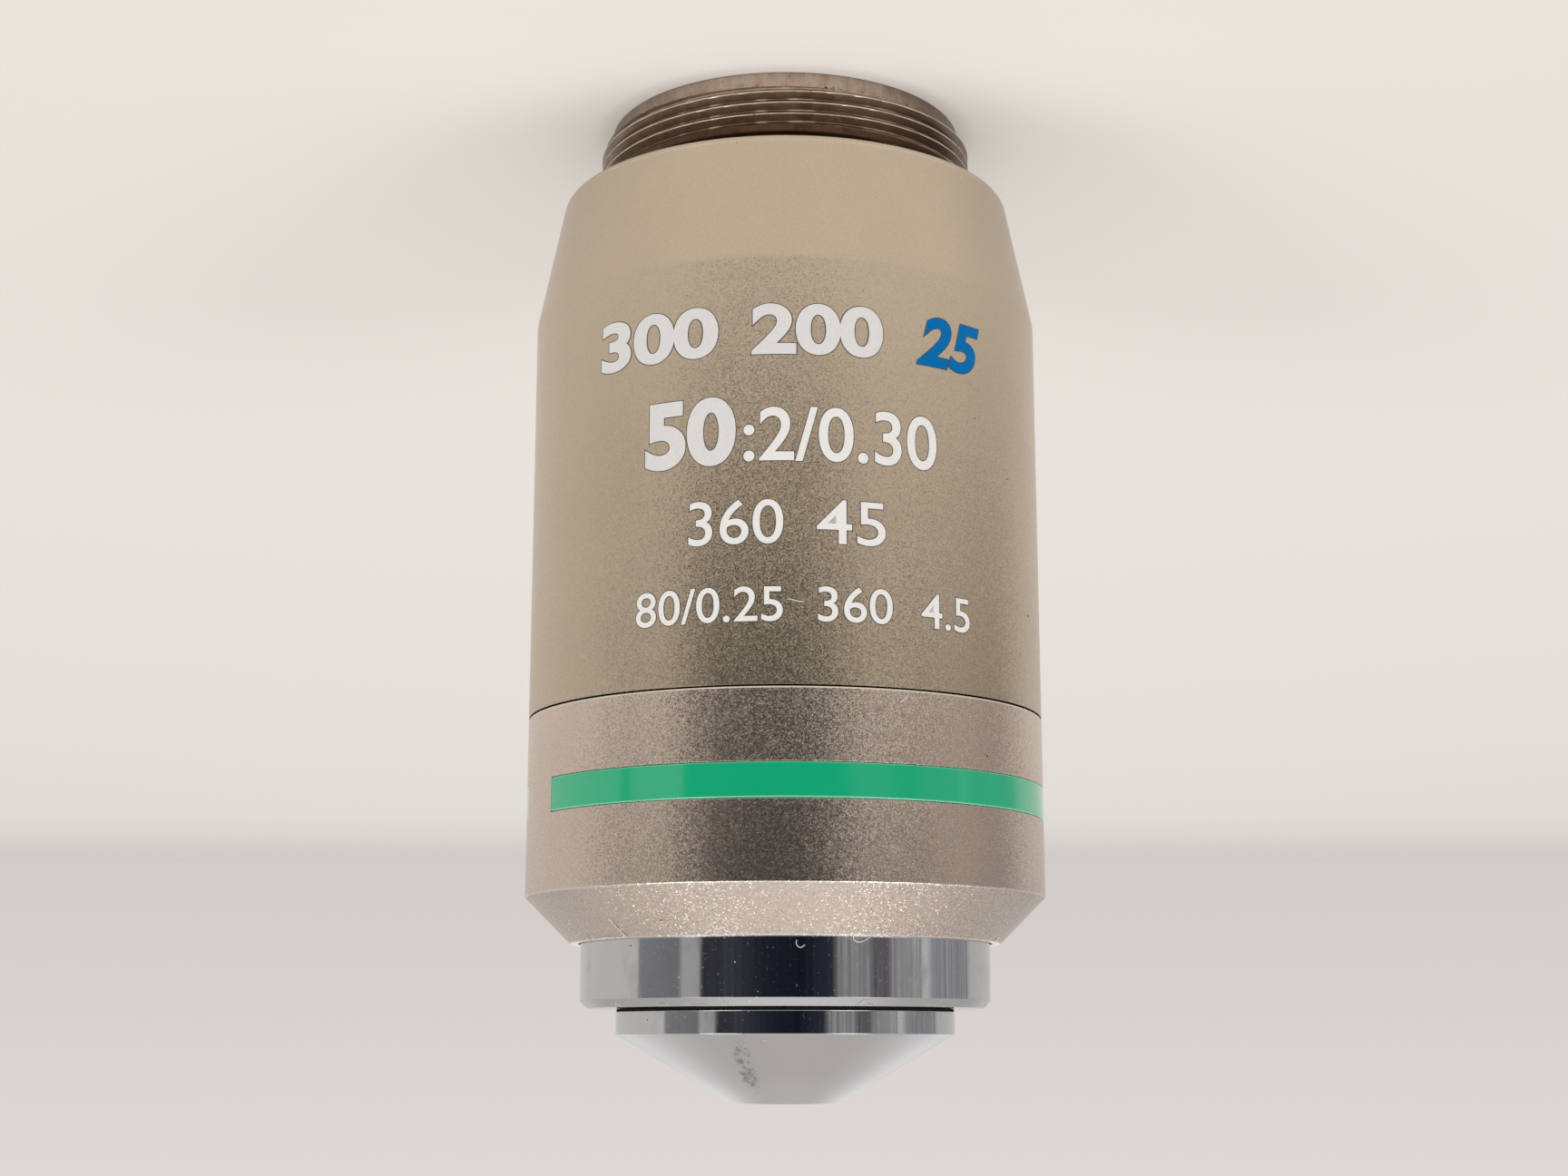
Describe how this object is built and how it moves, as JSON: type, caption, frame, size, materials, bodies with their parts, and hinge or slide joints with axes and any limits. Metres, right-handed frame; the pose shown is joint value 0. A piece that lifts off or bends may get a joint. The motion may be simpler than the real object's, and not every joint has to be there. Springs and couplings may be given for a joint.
{
  "type": "microscope objective",
  "caption": "Dry microscope objective with a threaded mount, a two-part metal sleeve and a spring-loaded chromed nose that gives way when it meets the slide",
  "frame": {"origin": "centre of the rear end face, which the objective stands on", "axes": "+Z runs along the optical axis from the mounting thread to the front lens; the band's gap lies towards +X"},
  "size_m": [0.0332, 0.0332, 0.0643],
  "materials": {
    "champagne": "satin plated, fine grain",
    "dark_nickel": "turned, dark nickel plated",
    "chrome": "polished",
    "satin_chrome": "satin",
    "black_brass": "blackened matt",
    "plain_brass": "turned bright",
    "spring_steel": "drawn bright",
    "green_enamel": "glossy enamel",
    "optical_glass": "polished and coated"
  },
  "bodies": {
    "barrel": {"mount_ring": "dark_nickel", "body_sleeve": "champagne", "front_sleeve": "champagne", "colour_band": "green_enamel", "parfocal_shim": "plain_brass", "guide_tube": "plain_brass", "guide_screw": "spring_steel", "return_spring": "spring_steel"},
    "nose": {"lens_barrel": "plain_brass", "nose_ring": "chrome", "nose_cone": "satin_chrome", "front_lens": "optical_glass", "meniscus_cell": "black_brass", "meniscus_lens": "optical_glass", "collector_cell": "black_brass", "collector_lens": "optical_glass", "doublet_cell": "black_brass", "doublet_crown": "optical_glass", "doublet_flint": "optical_glass", "front_spacer": "black_brass", "triplet_cell": "black_brass", "triplet_front": "optical_glass", "triplet_middle": "optical_glass", "triplet_rear": "optical_glass", "corrector_cell": "black_brass", "corrector_crown": "optical_glass", "corrector_flint": "optical_glass", "aperture_stop": "black_brass", "pupil_cell": "black_brass", "pupil_crown": "optical_glass", "pupil_flint": "optical_glass", "rear_spacer": "black_brass", "exit_cell": "black_brass", "exit_flint": "optical_glass", "exit_crown": "optical_glass", "lock_ring": "black_brass"}
  },
  "joints": [
    {"name": "nose_retract", "type": "slide", "parent": "barrel", "child": "nose", "axis": [0, 0, -1], "range_m": [0, 0.0025], "stiffness_N_per_m": 180, "springref_m": -0.01, "deforming": ["return_spring"]}
  ]
}
